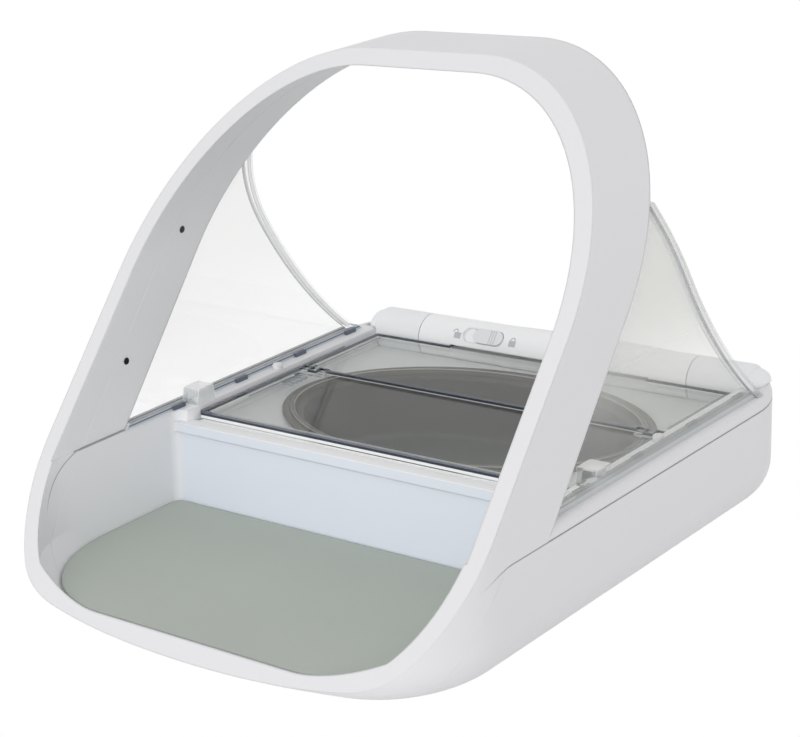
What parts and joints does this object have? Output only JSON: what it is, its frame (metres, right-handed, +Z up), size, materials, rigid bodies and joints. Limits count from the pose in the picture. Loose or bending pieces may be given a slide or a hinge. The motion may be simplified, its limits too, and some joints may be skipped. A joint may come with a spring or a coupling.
{
  "type": "microchip pet feeder",
  "caption": "Pet food station with a leaning arch and a small entry bay, a sealed oval bowl under a folding motor-driven clear lid, and clear side screens.",
  "frame": {"origin": "centre of the footprint's bounding box, on the table under the feet", "axes": "+Z up; +Y from the animal's entry towards the hinge and rear wall; +X to the right seen from the entry"},
  "size_m": [0.23, 0.2824, 0.201],
  "materials": {
    "white_shell": "satin white moulded plastic",
    "mat_rubber": "matt grey-green mat",
    "bowl_grey": "satin warm dark grey plastic",
    "seal_rubber": "soft grey seal",
    "clear": "clear moulded plastic",
    "dark_trim": "dark plastic",
    "pale_grey": "satin pale grey plastic",
    "steel": "drawn steel",
    "motor_metal": "plated can",
    "board_green": "solder mask",
    "copper_coil": "enamelled copper winding",
    "sensor_dark": "dark infrared-passing plastic",
    "cell_jacket": "shrink-wrapped steel can",
    "lens_clear": "diffusing lens",
    "foot_rubber": "matt rubber"
  },
  "bodies": {
    "housing": {"lower_shell": "white_shell", "upper_shell": "white_shell", "arch_front_cover": "white_shell", "arch_liner": "white_shell", "bowl": "bowl_grey", "bowl_seal": "seal_rubber", "side_screen_left": "clear", "side_screen_right": "clear", "corner_guard_left": "clear", "corner_guard_right": "clear", "screen_clips": "dark_trim", "hinge_barrel_left": "pale_grey", "hinge_barrel_right": "pale_grey", "drum_pin": "steel", "gear_motor": "motor_metal", "circuit_board": "board_green", "antenna_coil": "copper_coil", "ir_sensors": "sensor_dark", "battery_cells": "cell_jacket", "battery_contacts": "steel", "status_led": "lens_clear", "rubber_feet": "foot_rubber", "case_screws": "steel"},
    "lid_rear": {"drive_drum": "pale_grey", "lid_rear_panel": "clear", "mid_hinge_pins": "steel", "motor_shaft": "steel"},
    "lid_front": {"lid_front_panel": "clear", "guide_pins": "steel"},
    "lock": {"lock_slider": "pale_grey"},
    "training_btn": {"training_button": "pale_grey"},
    "hatch_btn": {"hatch_button": "pale_grey"},
    "delay_sw": {"delay_switch": "pale_grey"},
    "door_left": {"battery_door_left": "white_shell"},
    "door_right": {"battery_door_right": "white_shell"},
    "mat": {"floor_mat": "mat_rubber"}
  },
  "joints": [
    {"name": "drum_hinge", "type": "hinge", "parent": "housing", "child": "lid_rear", "pos_m": [0, 0.11, 0.0468], "axis": [-1, 0, 0], "range_deg": [0, 75]},
    {"name": "mid_hinge", "type": "hinge", "parent": "lid_rear", "child": "lid_front", "pos_m": [0, 0.0449, 0.0463], "axis": [1, 0, 0], "range_deg": [0, 150]},
    {"name": "lock_slide", "type": "slide", "parent": "lid_rear", "child": "lock", "axis": [-1, 0, 0], "range_m": [0, 0.006]},
    {"name": "training_press", "type": "slide", "parent": "housing", "child": "training_btn", "axis": [0, -1, 0], "range_m": [0, 0.0015], "stiffness_N_per_m": 600, "springref_m": -0.0005},
    {"name": "hatch_press", "type": "slide", "parent": "housing", "child": "hatch_btn", "axis": [0, -1, 0], "range_m": [0, 0.0015], "stiffness_N_per_m": 600, "springref_m": -0.0005},
    {"name": "delay_slide", "type": "slide", "parent": "housing", "child": "delay_sw", "axis": [1, 0, 0], "range_m": [-0.0035, 0.0035]},
    {"name": "door_left_hinge", "type": "hinge", "parent": "housing", "child": "door_left", "pos_m": [0, 0.08775, 0.0027], "axis": [-1, 0, 0], "range_deg": [0, 80]},
    {"name": "door_right_hinge", "type": "hinge", "parent": "housing", "child": "door_right", "pos_m": [0, 0.08775, 0.0027], "axis": [-1, 0, 0], "range_deg": [0, 80]},
    {"name": "mat_lift", "type": "slide", "parent": "housing", "child": "mat", "axis": [0, 0, 1], "range_m": [0, 0.04]}
  ],
  "couplings": [
    {"joint": "mid_hinge", "follows": "drum_hinge", "ratio": 2}
  ]
}
